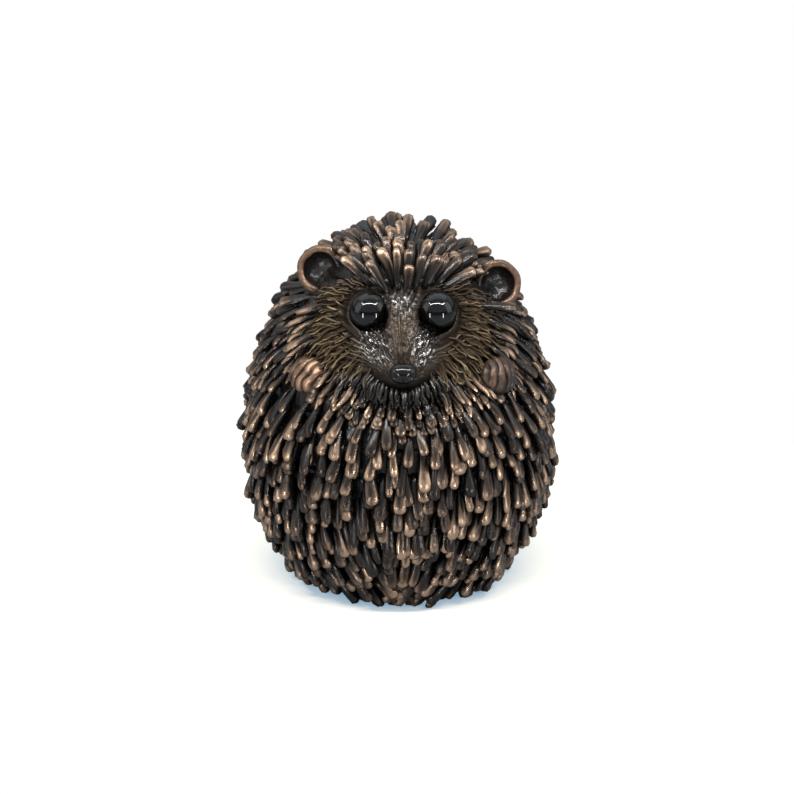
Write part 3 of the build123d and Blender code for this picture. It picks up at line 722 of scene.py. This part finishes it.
def makeTufts(name, tufts, material, seed):
    # Strands flow as the quills do. Those that would cross an eye, an ear or a paw are left out
    rng, parts, total = np.random.default_rng(seed), [], 0
    for tuft in tufts.values():
        surface, normals = tuftRoots(tuft, rng)
        ways = flowAt(surface, normals)
        proud = tuft["lift"] > tuftRoom["flatLift"] or tuft["form"] is rod
        balls = pawBalls + earBalls if proud else pawBalls[:2]
        rises = unit(ways + coat["slope"] * normals)
        keep = clearOf(surface, rises, tuft["length"] * tuftRoom["spare"], balls)
        keep &= clearOf(surface, ways, tuft["length"], eyeBalls)
        surface, normals, ways = surface[keep], normals[keep], ways[keep]
        count = len(surface)
        shape = drawEach(strandRanges, count, rng)
        for key in ("length", "width", "club", "rub"):
            shape[key] = tuft[key] * shape[key]
        for key in ("lift", "lean"):
            shape[key] = np.radians(tuft[key] + shape[key])
        shape.update({"wave": np.full(count, tuft["wave"]), "waves": tuft["waves"], "bare": tuft["bare"]})
        roots = surface - 0.5 * tuft["width"] * normals
        parts.append(rods(tuft["form"], roots, ways, normals, shape, rng))
        total += count
    points, faces, rub, grain = zip(*parts)
    starts = np.cumsum([0] + [len(part) for part in points])
    addPiece(name, np.concatenate(points),
             [kind + start for part, start in zip(faces, starts) for kind in part],
             {"rub": np.concatenate(rub), "grain": np.concatenate(grain)}, material, "bronze_face")
    print(f"{name}: {total} strands")


makeTufts("face_fringe", fringe, quillBronze, 31)
makeTufts("cheek_fur", cheekFur, faceBronze, 32)


# Eyes, nose, ears and forepaws

def ball(columns, rows):  # unit sphere directions on a grid, pole to pole along the last axis
    azimuth = np.linspace(0, 2 * np.pi, columns, endpoint=False)[None]
    turn = np.linspace(-np.pi / 2, np.pi / 2, rows)[:, None]
    return np.stack(np.broadcast_arrays(
        np.cos(turn) * np.cos(azimuth), np.cos(turn) * np.sin(azimuth), np.sin(turn)), -1)


def bodyAxes(out):  # across, up and out of a small piece that looks along out
    across = unit(np.cross(upAxis, out))
    return np.stack([across, np.cross(out, across), out])


def makeEyes():
    shape = ball(64, 40)
    for side, centre in eyeCentres.items():
        low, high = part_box(f"{side}_eye")
        radius = (high[0] - low[0]) / 2 / mm
        addGrid(f"{side}_glass_eye", centre + radius * shape, {}, blackGlass, "black_glass", [f"{side}_eye"])
    print("eyes: done")


nose = {"width": 2.65, "height": 2.15, "depth": 2.2, "droop": 0.16, "taper": 0.14,
        "nostril": 0.55, "nostrilPlace": 0.55, "nostrilWidth": 0.2, "crease": 0.22}


def makeNose():
    # An oval ball, a little wider at the top, with a dent for each nostril and a crease between them
    shape = ball(96, 60)
    axes = bodyAxes(unit(np.array([0, -1.0, -nose["droop"]])))
    dents = 0
    for sign in handSigns.values():
        nostril = unit(np.array([sign * nose["nostrilPlace"], 0.02, 0.78]))
        dents = dents + bell(np.linalg.norm(shape - nostril, axis=-1), 0, nose["nostrilWidth"])
    crease = bell(shape[..., 0], 0, 0.06) * ease(0.3, 0.8, shape[..., 2]) * ease(0.3, -0.2, shape[..., 1])
    local = shape * np.array([nose["width"], nose["height"], nose["depth"]])
    local[..., 0] *= 1 + nose["taper"] * shape[..., 1]
    local = local - (nose["nostril"] * dents + nose["crease"] * crease)[..., None] * shape
    addGrid("nose_tip", noseCentre + local @ axes, {}, blackLacquer, "black_lacquer", ["nose"])
    print("nose: done")


ear = {"radius": 4.7, "tall": 1.06, "depth": 3.4, "wall": 1.45, "sunk": 3.0, "turnOut": 24, "turnUp": 22,
       "stand": 0.9, "hollowEnd": 0.45, "rimEnd": 0.65, "hollowDepth": 0.72, "rimRise": 1.1, "dent": 0.5,
       "rimRub": 0.58, "backRub": 0.46, "backFade": 0.3, "hollowWet": 0.25, "inwardAngle": 0.35}


def makeEars():
    # A cup: the profile runs from the middle of the hollow up over a thick rolled rim and down the back
    angle = np.linspace(0, 2 * np.pi, 96, endpoint=False)
    run = np.linspace(0, 1, 48)
    hollow = run < ear["hollowEnd"]
    rim = ~hollow & (run < ear["rimEnd"])
    inner = 1 - ear["wall"] / ear["radius"]
    half = (1 - inner) / 2
    climb = np.minimum(run / ear["hollowEnd"], 1) * np.pi / 2
    turn = np.clip((run - ear["hollowEnd"]) / (ear["rimEnd"] - ear["hollowEnd"]), 0, 1) * np.pi
    back = np.clip((run - ear["rimEnd"]) / (1 - ear["rimEnd"]), 0, 1)
    parts = [hollow, rim]
    reach = np.select(parts, [inner * np.sin(climb) ** 0.8, inner + half - half * np.cos(turn)],
                      np.cos(back * np.pi / 2) ** 0.7)[:, None]
    depth = np.select(parts, [-ear["hollowDepth"] * np.cos(climb) ** 1.2,
                              half * ear["rimRise"] * np.sin(turn)],
                      -np.sin(back * np.pi / 2))[:, None]
    bright = np.select(parts, [0.0, ear["rimRub"]], ear["backRub"] - ear["backFade"] * back)[:, None]
    for side, sign in handSigns.items():
        out, up = sign * math.radians(ear["turnOut"]), math.radians(ear["turnUp"])
        facing = np.array([math.sin(out) * math.cos(up), -math.cos(out) * math.cos(up), math.sin(up)])
        waves = 1 + 0.025 * np.sin(3 * angle + sign) + 0.012 * np.sin(7 * angle)
        inwardAngle = ear["inwardAngle"] if sign > 0 else np.pi - ear["inwardAngle"]
        inward = np.maximum(np.cos(angle - inwardAngle - np.pi), 0) ** 1.4
        across, rise = reach * np.cos(angle), reach * np.sin(angle)
        dents = ear["dent"] * (valueNoise(across * 4 + 9, rise * 4 + 9, 8) - 0.5) * hollow[:, None]
        local = np.stack([across * waves * ear["radius"], rise * waves * ear["radius"] * ear["tall"],
                          depth * ear["depth"] - ear["sunk"] * inward * reach + dents], -1)
        points = earCentres[side] + facing * ear["stand"] + local @ bodyAxes(facing)
        rub = bright * (1 - 0.8 * inward)
        wet = ear["hollowWet"] * hollow[:, None] + 0 * rub
        addGrid(f"{side}_ear_cup", points, {"rub": rub, "wet": wet, "grain": local}, limbBronze,
                "bronze_limbs", [f"{side}_ear"])
    print("ears: done")


paw = {"wide": 4.3, "tall": 3.5, "deep": 2.7, "toes": 4.6, "slant": 0.3, "groove": 0.7, "stand": 0.2,
       "rub": {"left": 0.88, "right": 0.58}}


def makePaws():
    # A rounded mound, grooved into toes that slant a little, each toe rounded off at its end
    shape = ball(128, 96)
    x, y, z = shape[..., 0], shape[..., 1], shape[..., 2]
    facing = ease(-0.2, 0.5, z)
    for side, sign in handSigns.items():
        out = pawFacings[side]
        drift = valueNoise(x * 2 + 9, y * 2 + 9, 11 + sign) - 0.5
        lane = (x - paw["slant"] * y) * paw["toes"] / 2 + 0.35 * drift
        ridge = 1 - ease(-0.5, 0.6, z + 0.3 * drift) * (1 - np.abs(np.sin(np.pi * lane))) ** 1.6
        local = shape * np.array([paw["wide"], paw["tall"], paw["deep"]])
        local = local + (facing * (ridge**0.6 - 0.75) * paw["groove"])[..., None] * shape
        local[..., 1] *= 1 + 0.1 * facing * ridge
        points = pawCentres[side] + out * paw["stand"] + local @ bodyAxes(out)
        rub = (0.3 + 0.5 * ridge + 0.4 * drift - 0.12 * sign * x) * ease(-0.5, 0.3, z) * paw["rub"][side]
        addGrid(f"{side}_paw", points, {"rub": rub, "grain": local}, limbBronze, "bronze_limbs",
                [f"{side}_forepaw"])
    print("paws: done")


makeEyes()
makeNose()
makeEars()
makePaws()


# Floor, light and camera

stage = {"radius": 2600.0, "rimHeight": 620.0, "white": "#ffffff", "paper": "#8f9296",
         "shadowNear": 55.0, "shadowFar": 130.0, "sky": "#e9f0f6", "skyStrength": 0.5,
         "shadowGlow": (0.2, 0.34, 0.47, 1.0), "shadowLit": (0.95, 0.78, 0.56, 1.0)}  # both linear


def makeFloor():
    # A wide round floor that curves up at its edge, white to the camera but for a soft bluish shadow
    run = np.linspace(0, 1, 60)
    angle = np.linspace(0, 2 * np.pi, 96, endpoint=False)
    reach = stage["radius"] * np.minimum(run / 0.75, 1 + 0.1 * np.clip(run - 0.75, 0, 1))
    height = stage["rimHeight"] * ease(0.6, 1.0, run)
    points = np.stack([reach[:, None] * np.cos(angle), reach[:, None] * np.sin(angle),
                       height[:, None] + 0 * angle], -1).reshape(-1, 3)
    mesh = bpy.data.meshes.new("floor")
    mesh.from_pydata((points * mm).tolist(), [], gridFaces(len(run), len(angle)).tolist())
    floor = bpy.data.objects.new("floor", mesh)
    bpy.context.scene.collection.objects.link(floor)
    material, tree, place = newMaterial("paper_sweep_white")
    seen = addNode(tree, "ShaderNodeLightPath").outputs["Is Camera Ray"]
    glow = addNode(tree, "ShaderNodeEmission", {"Color": stage["shadowGlow"], "Strength": 1.0})
    lit = addNode(tree, "ShaderNodeBsdfDiffuse", {"Color": stage["shadowLit"]})
    shaded = addNode(tree, "ShaderNodeAddShader", {0: glow.outputs[0], 1: lit.outputs[0]})
    white = addNode(tree, "ShaderNodeEmission", {"Color": linearColour(stage["white"]), "Strength": 1.0})
    reach = addNode(tree, "ShaderNodeVectorMath", {0: place}, operation="LENGTH").outputs["Value"]
    shadowSpan = (stage["shadowNear"] * mm, stage["shadowFar"] * mm)
    far = addRange(tree, reach, (0.0, 1.0), shadowSpan, "SMOOTHSTEP")
    shown = addNode(tree, "ShaderNodeMixShader", {0: far, 1: shaded.outputs[0], 2: white.outputs[0]})
    plain = addNode(tree, "ShaderNodeBsdfDiffuse", {"Color": linearColour(stage["paper"])})
    mix = addNode(tree, "ShaderNodeMixShader", {0: seen, 1: plain.outputs[0], 2: shown.outputs[0]})
    mesh.materials.append(finishMaterial(material, mix))


lamps = {"top": {"place": (-40, 380, 900), "size": (1400, 700), "power": 2.0},
         "front_bar": {"place": (0, -273, 562), "size": (800, 14), "power": 3.8},
         "left_bar": {"place": (-396, -195, 597), "size": (170, 14), "power": 0.6},
         "right_bar": {"place": (396, -195, 597), "size": (170, 14), "power": 0.6},
         "left": {"place": (-760, -200, 380), "size": (500, 700), "power": 1.1},
         "right": {"place": (760, -160, 380), "size": (500, 700), "power": 1.3},
         "left_dash": {"place": (-100, -150, 38), "size": (7, 66), "power": 0.06},
         "right_dash": {"place": (100, -150, 38), "size": (7, 66), "power": 0.06}}
photo = {"elevation": math.radians(18), "distance": 520.0, "mmPerPixel": 0.206, "pixels": 794,
         "aim": (-0.4, 0.0, 37.7), "sensor": 36.0}


def aimAt(thing, place, target):
    thing.location = [value * mm for value in place]
    way = np.asarray(target) - np.asarray(place)
    across = unit(np.cross(way, upAxis))
    up = unit(np.cross(across, way))
    thing.rotation_euler = mathutils.Matrix(np.stack([across, up, -unit(way)], -1).tolist()).to_euler()
    bpy.context.scene.collection.objects.link(thing)


def makeLight():
    for name, lamp in lamps.items():
        light = bpy.data.lights.new(name, "AREA")
        light.shape, light.size, light.size_y = "RECTANGLE", lamp["size"][0] * mm, lamp["size"][1] * mm
        light.energy = lamp["power"]
        aimAt(bpy.data.objects.new(name, light), lamp["place"], photo["aim"])
    world = bpy.data.worlds.new("studio")
    world.use_nodes = True
    sky = world.node_tree.nodes["Background"].inputs
    sky["Color"].default_value = linearColour(stage["sky"])
    sky["Strength"].default_value = stage["skyStrength"]
    bpy.context.scene.world = world


def makeCamera():
    camera = bpy.data.cameras.new("photo_camera")
    camera.sensor_width = photo["sensor"]
    camera.lens = photo["sensor"] * photo["distance"] / (photo["mmPerPixel"] * photo["pixels"])
    camera.clip_start, camera.clip_end = 0.01, 20
    back = np.array([0, -math.cos(photo["elevation"]), math.sin(photo["elevation"])]) * photo["distance"]
    thing = bpy.data.objects.new("photo_camera", camera)
    aimAt(thing, np.array(photo["aim"]) + back, photo["aim"])
    bpy.context.scene.camera = thing


makeFloor()
makeLight()
makeCamera()
bpy.context.scene.view_settings.view_transform = "Standard"
print("stage: done")
